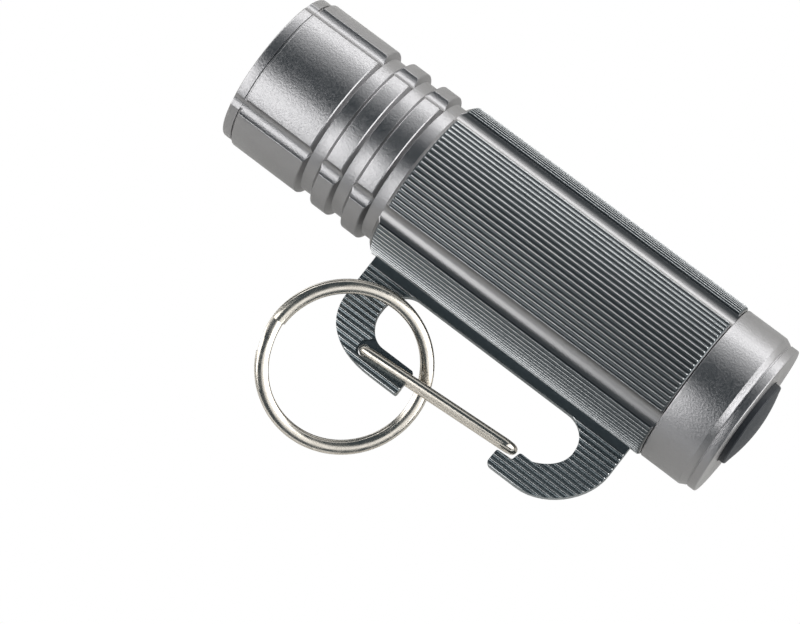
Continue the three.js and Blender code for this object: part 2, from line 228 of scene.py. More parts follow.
def channel_radius(angles):
    """How far from the axis each channel's wall lies at these angles; far away between channels."""
    offset = (np.asarray(angles) % (TURN / 4)) - TURN / 8
    inside = CHANNEL_R ** 2 - (CHANNEL_CENTRE * np.sin(offset)) ** 2
    wall = CHANNEL_CENTRE * np.cos(offset) - np.sqrt(np.clip(inside, 0, None))
    return np.where(inside > 0, wall, CHANNEL_CENTRE)


def channel_half_angle(radius):
    """Half of the angle that a channel takes out of a turned surface of this radius."""
    least = math.radians(1)          # kept where the channel doesn't reach the surface
    cosine = (radius ** 2 + CHANNEL_CENTRE ** 2 - CHANNEL_R ** 2) / (2 * radius * CHANNEL_CENTRE)
    return max(math.acos(min(cosine, 1)), least)


def quartered(panel):
    """Repeats the angles of one quarter, given from its middle, round the barrel."""
    return [quarter * TURN / 4 + angle for quarter in range(4) for angle in panel]


def grooved_angles(radius):
    """Angles that follow the channels' edges on a surface of this radius."""
    channel_half = channel_half_angle(radius)
    panel_half = TURN / 8 - channel_half
    near_edge = [math.radians(d) for d in (0, 0.12, 0.3, 0.6, 1.2)]
    left = [-panel_half + d for d in near_edge]
    right = [-a for a in reversed(left)]
    crown_half = panel_half - math.radians(2.5)
    crown = list(np.linspace(-crown_half, crown_half, 16))
    to_bottom = (0.03, 0.08, 0.16, 0.3, 0.45, 0.6, 0.8)
    shares = [*to_bottom, 1, *(2 - share for share in reversed(to_bottom))]
    channel = [panel_half + channel_half * share for share in shares]
    return quartered(left + crown + right + channel)


def cut_by_channels(x, radii, angles):
    """The head's rows with the channels milled through them."""
    edge_blend = 0.07
    return soft_min(radii, channel_radius(angles), edge_blend)


# ---- head ----------------------------------------------------------------------------------
def fin_groove(start):
    """A fin's steep rear wall with its edge broken, the groove's floor, and the next fin's slope."""
    break_length, break_depth = 0.17, 0.13
    wall_foot, slope_foot, slope_top = start + 0.62, start + 2.65, start + 3.25
    return [
        (start, PANEL_R, 0.04), (start + break_length, PANEL_R - break_depth, 0.04),
        (wall_foot, NECK_R, 0.05), (slope_foot, NECK_R, 0.25), (slope_top, PANEL_R, 0.25),
    ]


def make_head(look):
    """Four panels, two fins and the neck on the outside; seats for what it holds on the inside."""
    start, end = along("head")
    lip_r, seat_r = 12.78, 12.15
    chamber_start, chamber_r = 4.6, 11.6                 # reflector
    sink_start, sink_end, sink_r = 13.8, 24.6, 10.6      # heat sink
    spigot_r, spigot_bore_r = 11.85, 10.2
    seal_start, seal_end, seal_r = 29.5, 30.5, 11.2
    neck_end = GRIP_START - 0.05
    fins = fin_groove(FIRST_GROOVE) + fin_groove(FIRST_GROOVE + FIN_PITCH)
    neck = fin_groove(FIRST_GROOVE + 2 * FIN_PITCH)[:3]
    profile = rounded([
        (BEZEL_SEAT, seat_r, 0), (BEZEL_SEAT, lip_r, 0), (start, lip_r, 0.05), (start, PANEL_R, 0.15),
        *fins, *neck, (neck_end, NECK_R, 0), (neck_end, spigot_r, 0),
        (seal_start, spigot_r, 0), (seal_start, seal_r, 0), (seal_end, seal_r, 0),
        (seal_end, spigot_r, 0), (end, spigot_r, 0), (end, spigot_bore_r, 0),
        (sink_end, spigot_bore_r, 0), (sink_end, sink_r, 0), (sink_start, sink_r, 0),
        (sink_start, chamber_r, 0), (chamber_start, chamber_r, 0), (chamber_start, seat_r, 0),
    ])
    head = revolve("finned_head", profile, grooved_angles, cut_by_channels)
    place(head, "barrel", look, ["head"])


def make_bezel(look):
    start, end = along("bezel_ring")
    opening_r, lens_seat = 10.9, 0.9
    tube_r, tube_bore_r = 12, 11.2
    rim_end = BEZEL_SEAT - 0.02
    profile = rounded([
        (start, opening_r, 0.12), (start, RIM_R, 0.3), (rim_end, RIM_R, 0.06), (rim_end, tube_r, 0),
        (end, tube_r, 0), (end, tube_bore_r, 0), (lens_seat, tube_bore_r, 0),
        (lens_seat, opening_r, 0.05),
    ])
    bezel = revolve("front_bezel", profile, grooved_angles, cut_by_channels)
    place(bezel, "barrel", look, ["bezel_ring"])


def make_lens(look):
    start, end = along("lens")
    lens_r, edge_break = 11.05, 0.15
    profile = rounded([
        (start, 0, 0), (start, lens_r, edge_break), (end, lens_r, edge_break), (end, 0, 0),
    ], closed=False)
    lens = revolve("front_lens", profile, evenly(96))
    place(lens, "barrel", look, ["lens"])


def make_reflector(look):
    """A paraboloid bowl, so that light from the dome leaves parallel to the barrel."""
    front_x, front_r = 3.75, 10.4
    back_x, back_r = 13, 2.6
    flange_end, flange_r = 4.6, 11.05
    wall, shell_r, collar = 0.75, 10.95, 1.4
    steps = 28
    bowl = []
    for i in range(steps + 1):
        x = back_x + (front_x - back_x) * i / steps
        share = (back_x - x) / (back_x - front_x)
        bowl.append((x, math.sqrt(back_r ** 2 + (front_r ** 2 - back_r ** 2) * share)))
    shell = [(x, min(r + wall, shell_r)) for x, r in reversed(bowl[2:-3])]
    profile = [(front_x, flange_r), (flange_end, flange_r), *shell, (back_x, back_r + collar), *bowl]
    reflector = revolve("bowl_reflector", profile, evenly(96))
    place(reflector, "barrel", look, ["reflector"])


def make_dome(look):
    start, end = along("led_dome")
    dome_r = 1.35
    base = end - 0.1
    steps = 10
    arc = []
    for i in range(1, steps + 1):
        angle = math.pi / 2 * i / steps
        arc.append((base - (base - start) * math.cos(angle), dome_r * math.sin(angle)))
    dome = revolve("dome", [(start, 0), *arc, (end, dome_r), (end, 0)], evenly(48))
    place(dome, "barrel", look, ["led_dome"])


def make_centring_ring(look):
    start, end = along("led_centring_ring")
    hole_r, ring_r = 2.6, 4.4
    profile = rounded([
        (start, hole_r, 0.2), (start, ring_r, 0.15), (end, ring_r, 0.1), (end, hole_r, 0.1),
    ])
    ring = revolve("centring_ring", profile, evenly(64))
    place(ring, "barrel", look, ["led_centring_ring"])


# ---- grip and carabiner plate --------------------------------------------------------------
def rib_depth(offset, pitch):
    """Depth below the crest at a distance from a rib's middle: a narrow round crest, a wide groove."""
    steepness = 4                    # of the groove's walls
    away = np.abs(offset)
    inside = RIB_CREST_R ** 2 - np.clip(away, 0, RIB_CREST_R) ** 2
    round_top = RIB_CREST_R - np.sqrt(np.clip(inside, 0, None))
    groove_half = pitch / 2 - RIB_CREST_R
    into_groove = np.clip((away - RIB_CREST_R) / groove_half, 0, 1)
    floor = (RIB_DEPTH - RIB_CREST_R) * (1 - (1 - into_groove) ** steepness)
    return np.where(away < RIB_CREST_R, round_top, RIB_CREST_R + floor)


def ribbed_angles():
    """Angles that follow every rib of a quarter, then the channel after it."""
    edge = TURN / 8 - channel_half_angle(GRIP_R)
    clear_of_edge = edge - math.radians(0.1)
    panel = set()
    for k in range(RIBS_PER_QUARTER):
        middle = (k - (RIBS_PER_QUARTER - 1) / 2) * RIB_STEP
        for s in RIB_SAMPLES:
            panel.update((middle - s / GRIP_R, middle + s / GRIP_R))
        panel.add(middle + RIB_STEP / 2)
    panel = sorted(a for a in panel if abs(a) < clear_of_edge)
    channel = list(np.linspace(edge, TURN / 4 - edge, 26))
    return quartered([round(a, 7) for a in panel + channel])


def grip_radius(x, radii, angles):
    """Shapes the sleeve's rows: ribs and channels outside, a thread on the spigot, a plain bore."""
    inner_r = BORE_R + 0.9           # the bore, the socket and the seal's groove lie below this
    rib_blend, end_blend = 0.05, 0.04
    angles = np.asarray(angles)
    if radii[0] < inner_r:
        return radii
    if x > GRIP_END + 0.01:
        return threaded(x, radii, angles)
    from_middle = (angles + TURN / 8) % (TURN / 4) - TURN / 8
    from_crest = (from_middle / RIB_STEP) % 1 - 0.5
    ribs = GRIP_R - rib_depth(from_crest * RIB_STEP * GRIP_R, RIB_STEP * GRIP_R)
    section = soft_min(ribs, channel_radius(angles), rib_blend)
    return soft_min(section, radii, end_blend)


def threaded(x, radii, angles):
    """Right-hand thread on the rear spigot, with flat crests and roots, running out at both ends."""
    start, end = SEAL_GROOVE[1] + 0.2, SPIGOT_END - 0.1
    run_out = 0.3
    if not start < x < end or radii[0] < SPIGOT_R - 0.01:
        return radii
    phase = (x / THREAD_PITCH - angles / TURN) % 1
    wave = 1 - np.abs(2 * phase - 1)
    share = min(1, (x - start) / run_out, (end - x) / run_out)
    return radii - THREAD_DEPTH * np.clip(1.35 * wave - 0.2, 0, 1) * share


def make_sleeve():
    """The tube of the grip, with the ribs, the channels and the rear thread."""
    front_chamfer, rear_chamfer = 0.9, 0.5
    over_ribs = GRIP_R + 0.1         # rows out here leave the ribs at their full height
    under_channels = 12.6
    seal_r = 11.95
    socket_end, socket_r = 32.3, 12  # takes the head's spigot
    front = []
    for k in range(9):
        rise = front_chamfer * k / 8
        front.append((GRIP_START + rise, GRIP_R - front_chamfer + rise))
    rear = []
    for k in range(7):
        fall = rear_chamfer * k / 6
        rear.append((GRIP_END - rear_chamfer + fall, GRIP_R - fall))
    thread_rows = [(SEAL_GROOVE[1] + THREAD_PITCH / 8 * k, SPIGOT_R) for k in range(1, 24)]
    profile = [
        (GRIP_START, under_channels), *front, (GRIP_START + 1.3, over_ribs),
        (GRIP_END - 0.9, over_ribs), *rear, (GRIP_END, SPIGOT_R),
        (SEAL_GROOVE[0], SPIGOT_R), (SEAL_GROOVE[0], seal_r), (SEAL_GROOVE[1], seal_r),
        (SEAL_GROOVE[1], SPIGOT_R), *thread_rows, (SPIGOT_END, SPIGOT_R - 0.2), (SPIGOT_END, BORE_R),
        (socket_end, BORE_R), (socket_end, socket_r), (GRIP_START, socket_r),
    ]
    return revolve("ribbed_grip", profile, ribbed_angles(), grip_radius)


def bend(start, via, end, fullness, steps=14):
    """A quarter turn from start to end, rounding the corner via; 0.55 is round, less is flatter."""
    start, via, end = Vector(start), Vector(via), Vector(end)
    first = start.lerp(via, fullness)
    second = end.lerp(via, fullness)
    points = []
    for k in range(1, steps + 1):
        t = k / steps
        s = 1 - t
        points.append(start * s ** 3 + first * 3 * s * s * t + second * 3 * s * t * t + end * t ** 3)
    return points


def plate_outline():
    """The plate's outline, anticlockwise: down its front, round the hinge arm, along the window,
    round the nose and up its rear. Both ends lie inside the sleeve."""
    left, right = 31.2, 80
    edge, hook_top, wall, root = -PLATE_EDGE, -HOOK_TOP, -WINDOW_WALL, -(BORE_R + 1)
    front_corner, arm_foot = (left, -21.3), (41.8, edge)
    nose_foot, rear_corner = (69.8, edge), (right, -19.3)
    arm_inside, nose_inside = (40.85, hook_top), (69.6, hook_top)
    window_left, window_right, window_side = 37.05, 73.7, -19.9
    wall_start, wall_end = (40.85, wall), (69.4, wall)
    points = [Vector((left, root)), Vector(front_corner)]
    points += bend(front_corner, (left, edge), arm_foot, 0.64)
    arm = [(*arm_foot, 0), (ARM_END, edge, 0.4), (ARM_END, hook_top, 0.4), (*arm_inside, 0)]
    points += rounded(arm, closed=False)[1:]
    points += bend(arm_inside, (window_left, hook_top), (window_left, window_side - 0.7), 0.5)
    points.append(Vector((window_left, window_side)))
    points += bend((window_left, window_side), (window_left, wall), wall_start, 0.55)
    points.append(Vector(wall_end))
    points += bend(wall_end, (window_right, wall), (window_right, window_side), 0.55)
    points += bend((window_right, window_side), (73.9, -23.1), nose_inside, 0.62)
    nose = [
        (*nose_inside, 0), (67.35, hook_top, 0.5), (66.95, -26.45, 0.3), (64.2, -26.6, 0.35),
        (64.1, edge, 0.9), (*nose_foot, 0),
    ]
    points += rounded(nose, closed=False)[1:]
    points += bend(nose_foot, (right, edge), rear_corner, 0.5)
    points.append(Vector((right, root)))
    return points


def inset(outline, amount):
    """The outline moved inwards; it runs anticlockwise round its material."""
    moved = []
    for i, here in enumerate(outline):
        before = (here - outline[i - 1]).normalized()
        after = (outline[(i + 1) % len(outline)] - here).normalized()
        normal_in = Vector((-before.y, before.x))
        normal_out = Vector((-after.y, after.x))
        middle = (normal_in + normal_out).normalized()
        moved.append(here + middle * amount / max(middle.dot(normal_in), 0.5))
    return moved


def prism(name, outline, levels):
    """A closed prism; levels are (z, inset) from the bottom up."""
    count = len(outline)
    points = []
    for z, amount in levels:
        points += [(p.x, p.y, z) for p in inset(outline, amount)]
    faces = [tuple(range(count - 1, -1, -1))]
    for i in range(len(levels) - 1):
        for j in range(count):
            k = (j + 1) % count
            faces.append((i * count + j, i * count + k, (i + 1) * count + k, (i + 1) * count + j))
    faces.append(tuple((len(levels) - 1) * count + j for j in range(count)))
    return solid(name, points, faces)


def plate_section():
    """The plate's ribbed section as (y, z), anticlockwise from its thick root in the sleeve."""
    ledge = PLATE_HALF_T - RIB_DEPTH
    upper = [(12, 1.7), (13.6, 1.7), (13.8, 1.25), (14.1, ledge), (15.3, ledge)]
    offsets = sorted({-s for s in RIB_SAMPLES} | set(RIB_SAMPLES) | {PLATE_RIB_PITCH / 2})
    first_crest = WINDOW_WALL + 0.05
    for rib in range(PLATE_RIBS):
        crest = first_crest + rib * PLATE_RIB_PITCH
        for s in offsets:
            z = PLATE_HALF_T - float(rib_depth(np.array(s), PLATE_RIB_PITCH))
            upper.append((crest + s, z))
    return [(-d, z) for d, z in upper] + [(-d, -z) for d, z in reversed(upper)]


def rounded_edges():
    """Levels (z, inset) up through the plate that round both of its edges."""
    above_root = 2.4
    steps = 5
    upper = []
    for k in range(steps + 1):
        angle = math.pi / 2 * k / steps
        z = PLATE_HALF_T - PLATE_ROUND * (1 - math.sin(angle))
        upper.append((z, PLATE_ROUND * (1 - math.cos(angle))))
    upper.append((above_root, PLATE_ROUND))
    return [(-z, amount) for z, amount in reversed(upper)] + upper


def make_plate():
    """The carabiner plate: its ribbed section run along the barrel, trimmed to a rounded outline."""
    stock = (30, 82)                 # a little longer than the outline at both ends
    section = plate_section()
    count = len(section)
    points = [(x, y, z) for x in stock for y, z in section]
    faces = [tuple(range(count)), tuple(range(2 * count - 1, count - 1, -1))]
    for j in range(count):
        k = (j + 1) % count
        faces.append((j, j + count, k + count, k))
    plate = solid("plate", points, faces)
    return combine(plate, prism("outline", plate_outline(), rounded_edges()), "INTERSECT")


def gate_recess(side):
    """What is cut from the hinge arm for one leg of the gate: side is 1 above the plate, -1 below."""
    margin = 1.2
    left, low = GATE_HINGE[0] - margin, GATE_HINGE[1] - margin
    right, high = ARM_END + 1, 1 - HOOK_TOP
    outline = rounded([
        (right, low, 0), (right, high, 0), (left + 2, high, 0.6),
        (left, GATE_HINGE[1] + 1, 0.6), (left, low, margin),
    ], steps=6)
    bottom, top = sorted((side * RECESS_FLOOR, side * 3))
    return prism("recess", outline, [(bottom, 0), (top, 0)])


def make_grip(look):
    hole_r, reach = 0.98, 3
    plate = make_plate()
    for side in (1, -1):
        plate = combine(plate, gate_recess(side), "DIFFERENCE")
    hole = revolve("hole", [(-reach, 0), (-reach, hole_r), (reach, hole_r), (reach, 0)], evenly(32))
    hole.data.transform(Matrix.Translation((*GATE_HINGE, 0)) @ Matrix.Rotation(math.pi / 2, 4, "Y"))
    plate = combine(plate, hole, "DIFFERENCE")
    grip = combine(make_sleeve(), plate, "UNION")
    place(grip, "barrel", look, ["grip_body"], crease=40)


# ---- wire parts ----------------------------------------------------------------------------
def sweep(name, path, frames, section):
    """A closed section carried along an open path; frames gives its two directions at each point."""
    count = len(section)
    points = []
    for here, (side, up) in zip(path, frames):
        points += [here + side * u + up * v for u, v in section]
    faces = [tuple(range(count - 1, -1, -1))]
    for i in range(len(path) - 1):
        for j in range(count):
            k = (j + 1) % count
            faces.append((i * count + j, i * count + k, (i + 1) * count + k, (i + 1) * count + j))
    faces.append(tuple((len(path) - 1) * count + j for j in range(count)))
    return solid(name, points, faces)


def gate_path():
    """Half of the gate as (distance from the hinge, z), from the wire's end to the loop's middle."""
    bend_r = 1
    end_z = 0.15
    path = [(0, end_z), (0, GATE_LEG_Z - bend_r)]
    for k in range(1, 9):
        angle = math.pi / 2 * k / 8
        path.append((bend_r * (1 - math.cos(angle)), GATE_LEG_Z - bend_r * (1 - math.sin(angle))))
    path += [(d, GATE_LEG_Z) for d in np.linspace(bend_r + 0.8, GATE_LEG, 24)]
    for k in range(1, 13):
        angle = math.pi / 2 * k / 12
        path.append((GATE_LEG + GATE_LEG_Z * math.sin(angle), GATE_LEG_Z * math.cos(angle)))
    return path


def make_gate(look):
    """A hairpin of round wire. Its two ends nearly meet in the hinge arm's hole."""
    half = gate_path()
    flat = half + [(d, -z) for d, z in reversed(half[:-1])]
    rise = Vector((math.cos(GATE_RISE), math.sin(GATE_RISE), 0))
    across = Vector((-math.sin(GATE_RISE), math.cos(GATE_RISE), 0))
    hinge = Vector((*GATE_HINGE, 0))
    path = [hinge + rise * d + Vector((0, 0, z)) for d, z in flat]
    frames = []
    for i in range(len(path)):
        run = (path[min(i + 1, len(path) - 1)] - path[max(i - 1, 0)]).normalized()
        frames.append((across, run.cross(across)))
    section = [(GATE_WIRE_R * math.cos(a), GATE_WIRE_R * math.sin(a)) for a in evenly(28)]
    gate = sweep("gate_spring", path, frames, section)
    place(gate, "gate", look, ["gate_wire"], crease=50)


def make_split_ring(look):
    """Two turns of flattened wire. The jog from one turn to the other lies towards the head."""
    left = Vector((-1, 0, 0))
    left = (left - RING_NORMAL * left.dot(RING_NORMAL)).normalized()
    down = RING_NORMAL.cross(left)
    jog_start, jog_end = math.radians(352), math.radians(384)
    wire_start, wire_end = math.radians(23), math.radians(718)
    steps = 300
    path, frames = [], []
    for i in range(steps + 1):
        angle = wire_start + (wire_end - wire_start) * i / steps
        share = min(max((angle - jog_start) / (jog_end - jog_start), 0), 1)
        level = (share * share * (3 - 2 * share) - 0.5) * RING_LEAD
        out = left * math.cos(angle) + down * math.sin(angle)
        path.append(RING_CENTRE + out * RING_PATH_R + RING_NORMAL * level)
        frames.append((out, RING_NORMAL))
    wide, thick = RING_WIRE_HALF
    section = [(wide * math.cos(a), -thick * math.sin(a)) for a in evenly(28)]
    ring = sweep("two_turn_ring", path, frames, section)
    place(ring, "ring", look, ["split_ring"], crease=50)


# ---- tail cap ------------------------------------------------------------------------------
def make_tail_cap(look):
    """A smooth cap, its rear end stepped down in a slope, a fine groove and a rim round the button."""
    slope_start, slope_end = 88.9, 89.85
    groove_start, groove_end, groove_r = 89.95, 90.12, END_RIM_R - 0.1
    hole_r, face_back = 7.45, 89.7
    chamber_r = 10.4
    socket_end, socket_r = 86.6, 12.6        # takes the grip's spigot
    sleeve_start, sleeve_r = 82.6, 11.1
    profile = rounded([
        (CAP_START, socket_r, 0.1), (CAP_START, CAP_R, 0.22), (slope_start, CAP_R, 0.12),
        (slope_end, END_RIM_R + 0.02, 0.03), (groove_start, groove_r, 0.03),
        (groove_end, groove_r, 0.03), (90.2, END_RIM_R, 0.05), (CAP_FACE, END_RIM_R, 0.32),
        (CAP_FACE, hole_r, 0.1), (face_back, hole_r, 0), (face_back, chamber_r, 0),
        (sleeve_start, chamber_r, 0), (sleeve_start, sleeve_r, 0), (socket_end, sleeve_r, 0),
        (socket_end, socket_r, 0),
    ])
    cap = revolve("end_cap", profile, evenly(180))
    place(cap, "tail_cap", look, ["tail_cap"])


def make_button(look):
    """A hollow moulding: a flange that the cap traps, a straight wall and a shallow crown."""
    flange_start, flange_end, flange_r = 88.75, 89.6, 10.15
    hollow_end, hollow_r = 92.35, 6.2
    crown_r = BUTTON_R - 0.15
    steps = 14
    crown = []
    for i in range(1, steps + 1):
        r = crown_r * (1 - i / steps)
        crown.append((BUTTON_EDGE + (BUTTON_TIP - BUTTON_EDGE) * (1 - (r / BUTTON_R) ** 2), r))
    walls = rounded([
        (hollow_end, 0, 0), (hollow_end, hollow_r, 0.4), (flange_start, hollow_r, 0),
        (flange_start, flange_r, 0.1), (flange_end, flange_r, 0.1), (flange_end, BUTTON_R, 0.1),
        (BUTTON_EDGE - 0.1, BUTTON_R, 0.12), (BUTTON_EDGE + 0.1, crown_r, 0),
    ], closed=False)
    button = revolve("push_button", [*walls, *crown], evenly(96))
    place(button, "button", look, ["rubber_button"])


def make_tail_seal(look):
    section_r, ring_r = 0.25, 12.27
    middle = sum(SEAL_GROOVE) / 2
    profile = [(middle + section_r * math.sin(a), ring_r + section_r * math.cos(a)) for a in evenly(12)]
    seal = revolve("tail_seal_ring", profile, evenly(96))
    place(seal, "tail_seal", look, ["tail_o_ring"], crease=60)


# ---- materials -----------------------------------------------------------------------------
def linear(hex_colour):
    """An sRGB hex colour as linear red, green, blue and alpha."""
    values = [int(hex_colour[i:i + 2], 16) / 255 for i in (1, 3, 5)]
    return [v / 12.92 if v <= 0.04045 else ((v + 0.055) / 1.055) ** 2.4 for v in values] + [1]


def add(tree, kind, inputs=None, **settings):
    """Adds a node; an input is a plain value, or (node, output) to link from."""
    node = tree.nodes.new(kind)
    for name, value in settings.items():
        setattr(node, name, value)
    for name, value in (inputs or {}).items():
        if isinstance(value, tuple) and isinstance(value[0], bpy.types.Node):
            tree.links.new(value[0].outputs[value[1]], node.inputs[name])
        else:
            node.inputs[name].default_value = value
    return node


def start_material(name):
    made = bpy.data.materials.new(name)
    made.use_nodes = True
    made.node_tree.nodes.clear()
    return made, made.node_tree


def end_material(tree, shader):
    add(tree, "ShaderNodeOutputMaterial", {"Surface": (shader, 0)})


def per_metre(size_mm):
    """A noise scale whose features are about this size."""
    return 1 / (size_mm * MM)


def blasted_anodised_aluminium():
    """Bead-blasted, then anodised a light gunmetal: satin, with a fine even grain. The grit leaves
    dimples of about 0.1 mm, drawn at 0.32 mm so that they show."""
    made, tree = start_material("blasted_anodised_aluminium")
    where = add(tree, "ShaderNodeTexCoord")
    dimples = add(tree, "ShaderNodeTexNoise", {
        "Vector": (where, "Object"), "Scale": per_metre(0.32), "Detail": 3, "Roughness": 0.6,
    })
    clouds = add(tree, "ShaderNodeTexNoise", {
        "Vector": (where, "Object"), "Scale": per_metre(9), "Detail": 2,
    })
    tone = add(tree, "ShaderNodeMix", {
        "Factor": (clouds, "Fac"), "A": linear("#939293"), "B": linear("#9b9a9b"),
    }, data_type="RGBA")
    satin = add(tree, "ShaderNodeMapRange", {
        "Value": (dimples, "Fac"), "From Min": 0.3, "From Max": 0.7, "To Min": 0.28, "To Max": 0.42,
    })
    bump = add(tree, "ShaderNodeBump", {
        "Height": (dimples, "Fac"), "Strength": 0.8, "Distance": 0.05 * MM,
    })
    shader = add(tree, "ShaderNodeBsdfPrincipled", {
        "Base Color": (tone, "Result"), "Metallic": 1, "Roughness": (satin, "Result"),
        "Normal": (bump, "Normal"),
    })
    end_material(tree, shader)
    return made


def extruded_anodised_aluminium():
    """The same finish on an extrusion. The grooves between the ribs are painted a dark slate as painted
    shade, darker on the sleeve than on the plate; the crests are painted bright as a painted highlight, and
    the channels are as light as the head. Die lines 0.15 mm apart run along it.
    The dimples of about 0.1 mm are drawn at 0.22 mm so that they show."""
    made, tree = start_material("extruded_anodised_aluminium")
    where = add(tree, "ShaderNodeTexCoord")
    stretched = add(tree, "ShaderNodeMapping", {
        "Vector": (where, "Object"), "Scale": (0.06, 1, 1),
    })
    die_lines = add(tree, "ShaderNodeTexNoise", {
        "Vector": (stretched, "Vector"), "Scale": per_metre(0.15), "Detail": 2,
    })
    dimples = add(tree, "ShaderNodeTexNoise", {
        "Vector": (where, "Object"), "Scale": per_metre(0.22), "Detail": 3, "Roughness": 0.6,
    })
    height = add(tree, "ShaderNodeMath", {
        0: (dimples, "Fac"), 1: (die_lines, "Fac"),
    }, operation="ADD")
    from_axis = add(tree, "ShaderNodeVectorMath", {
        0: (where, "Object"), 1: BARREL,
    }, operation="SUBTRACT")
    across = add(tree, "ShaderNodeVectorMath", {
        0: (from_axis, "Vector"), 1: (0, 1, 1),
    }, operation="MULTIPLY")
    radius = add(tree, "ShaderNodeVectorMath", {0: (across, "Vector")}, operation="LENGTH")
    parts = add(tree, "ShaderNodeSeparateXYZ", {0: (from_axis, "Vector")})
    above = add(tree, "ShaderNodeMath", {0: (parts, "Z")}, operation="ABSOLUTE")
    on_plate = add(tree, "ShaderNodeMath", {
        0: (radius, "Value"), 1: (GRIP_R + 0.2) * MM,
    }, operation="GREATER_THAN")
    raised = add(tree, "ShaderNodeMath", {0: (above, "Value"), 1: (GRIP_R - PLATE_HALF_T) * MM})
    height_here = add(tree, "ShaderNodeMix", {
        "Factor": (on_plate, "Value"), "A": (radius, "Value"), "B": (raised, "Value"),
    })
    # Where the rib crests are, on the sleeve and on the plate: these take the painted highlight.
    crest = add(tree, "ShaderNodeMapRange", {
        "Value": (height_here, "Result"), "From Min": (GRIP_R - 0.15) * MM,
        "From Max": (GRIP_R - 0.05) * MM,
    })
    channel = add(tree, "ShaderNodeMapRange", {
        "Value": (radius, "Value"), "From Min": (GRIP_R - RIB_DEPTH - 0.04) * MM,
        "From Max": (GRIP_R - RIB_DEPTH - 0.12) * MM,
    })
    # Painted shade in the grooves between the ribs: a dark slate on the sleeve, a lighter one on the plate.
    groove = add(tree, "ShaderNodeMix", {
        "Factor": (on_plate, "Value"), "A": linear("#54585a"), "B": linear("#757d80"),
    }, data_type="RGBA")
    # The channels keep the head's tone; everywhere else takes the painted groove shade.
    smooth = add(tree, "ShaderNodeMix", {
        "Factor": (channel, "Result"), "A": (groove, "Result"), "B": linear("#959494"),
    }, data_type="RGBA")
    # The painted highlight for the crests, streaked by the die lines.
    drawn = add(tree, "ShaderNodeMix", {
        "Factor": (die_lines, "Fac"), "A": linear("#c0c2c3"), "B": linear("#d8d9d9"),
    }, data_type="RGBA")
    # The crests get the painted highlight; the rest gets the painted groove shade or the channels' tone.
    tone = add(tree, "ShaderNodeMix", {
        "Factor": (crest, "Result"), "A": (smooth, "Result"), "B": (drawn, "Result"),
    }, data_type="RGBA")
    bump = add(tree, "ShaderNodeBump", {
        "Height": (height, "Value"), "Strength": 0.25, "Distance": 0.01 * MM,
    })
    shader = add(tree, "ShaderNodeBsdfPrincipled", {
        "Base Color": (tone, "Result"), "Metallic": 1, "Roughness": 0.34, "Normal": (bump, "Normal"),
    })
    end_material(tree, shader)
    return made


def nickel_plated_steel():
    """Spring steel wire, barrel-plated with bright nickel: warm, glossy, faintly hazed by handling."""
    made, tree = start_material("nickel_plated_steel")
    where = add(tree, "ShaderNodeTexCoord")
    handling = add(tree, "ShaderNodeTexNoise", {
        "Vector": (where, "Object"), "Scale": per_metre(1.6), "Detail": 3, "Roughness": 0.5,
    })
    haze = add(tree, "ShaderNodeMapRange", {
        "Value": (handling, "Fac"), "From Min": 0.35, "From Max": 0.7, "To Min": 0.18, "To Max": 0.3,
    })
    tone = add(tree, "ShaderNodeMix", {
        "Factor": (handling, "Fac"), "A": linear("#d8d2c8"), "B": linear("#c4bdb2"),
    }, data_type="RGBA")
    bump = add(tree, "ShaderNodeBump", {
        "Height": (handling, "Fac"), "Strength": 0.08, "Distance": 0.03 * MM,
    })
    shader = add(tree, "ShaderNodeBsdfPrincipled", {
        "Base Color": (tone, "Result"), "Metallic": 1, "Roughness": (haze, "Result"),
        "Normal": (bump, "Normal"),
    })
    end_material(tree, shader)
    return made


def moulded_silicone_rubber():
    """The button: matt silicone from a spark-eroded mould, with a fine even texture and some dust."""
    made, tree = start_material("moulded_silicone_rubber")
    where = add(tree, "ShaderNodeTexCoord")
    texture = add(tree, "ShaderNodeTexNoise", {
        "Vector": (where, "Object"), "Scale": per_metre(0.25), "Detail": 3,
    })
    dust = add(tree, "ShaderNodeTexNoise", {
        "Vector": (where, "Object"), "Scale": per_metre(0.5), "Detail": 4, "Roughness": 0.7,
    })
    dusty = add(tree, "ShaderNodeMapRange", {
        "Value": (dust, "Fac"), "From Min": 0.62, "From Max": 0.78, "To Min": 0, "To Max": 0.35,
    })
    tone = add(tree, "ShaderNodeMix", {
        "Factor": (dusty, "Result"), "A": linear("#22262b"), "B": linear("#5d6266"),
    }, data_type="RGBA")
    bump = add(tree, "ShaderNodeBump", {
        "Height": (texture, "Fac"), "Strength": 0.4, "Distance": 0.03 * MM,
    })
    shader = add(tree, "ShaderNodeBsdfPrincipled", {
        "Base Color": (tone, "Result"), "Roughness": 0.55, "IOR": 1.41, "Normal": (bump, "Normal"),
    })
    end_material(tree, shader)
    return made


def coated_glass():
    """A flat mineral glass lens; an anti-reflection coat leaves a faint cool tint."""
    made, tree = start_material("coated_glass")
    where = add(tree, "ShaderNodeTexCoord")
    smears = add(tree, "ShaderNodeTexNoise", {
        "Vector": (where, "Object"), "Scale": per_metre(6), "Detail": 4,
    })
    clean = add(tree, "ShaderNodeMapRange", {
        "Value": (smears, "Fac"), "From Min": 0.4, "From Max": 0.7, "To Min": 0.01, "To Max": 0.06,
    })
    shader = add(tree, "ShaderNodeBsdfPrincipled", {
        "Base Color": linear("#f2f7f8"), "Roughness": (clean, "Result"), "IOR": 1.5,
        "Transmission Weight": 1,
    })
    end_material(tree, shader)
    return made


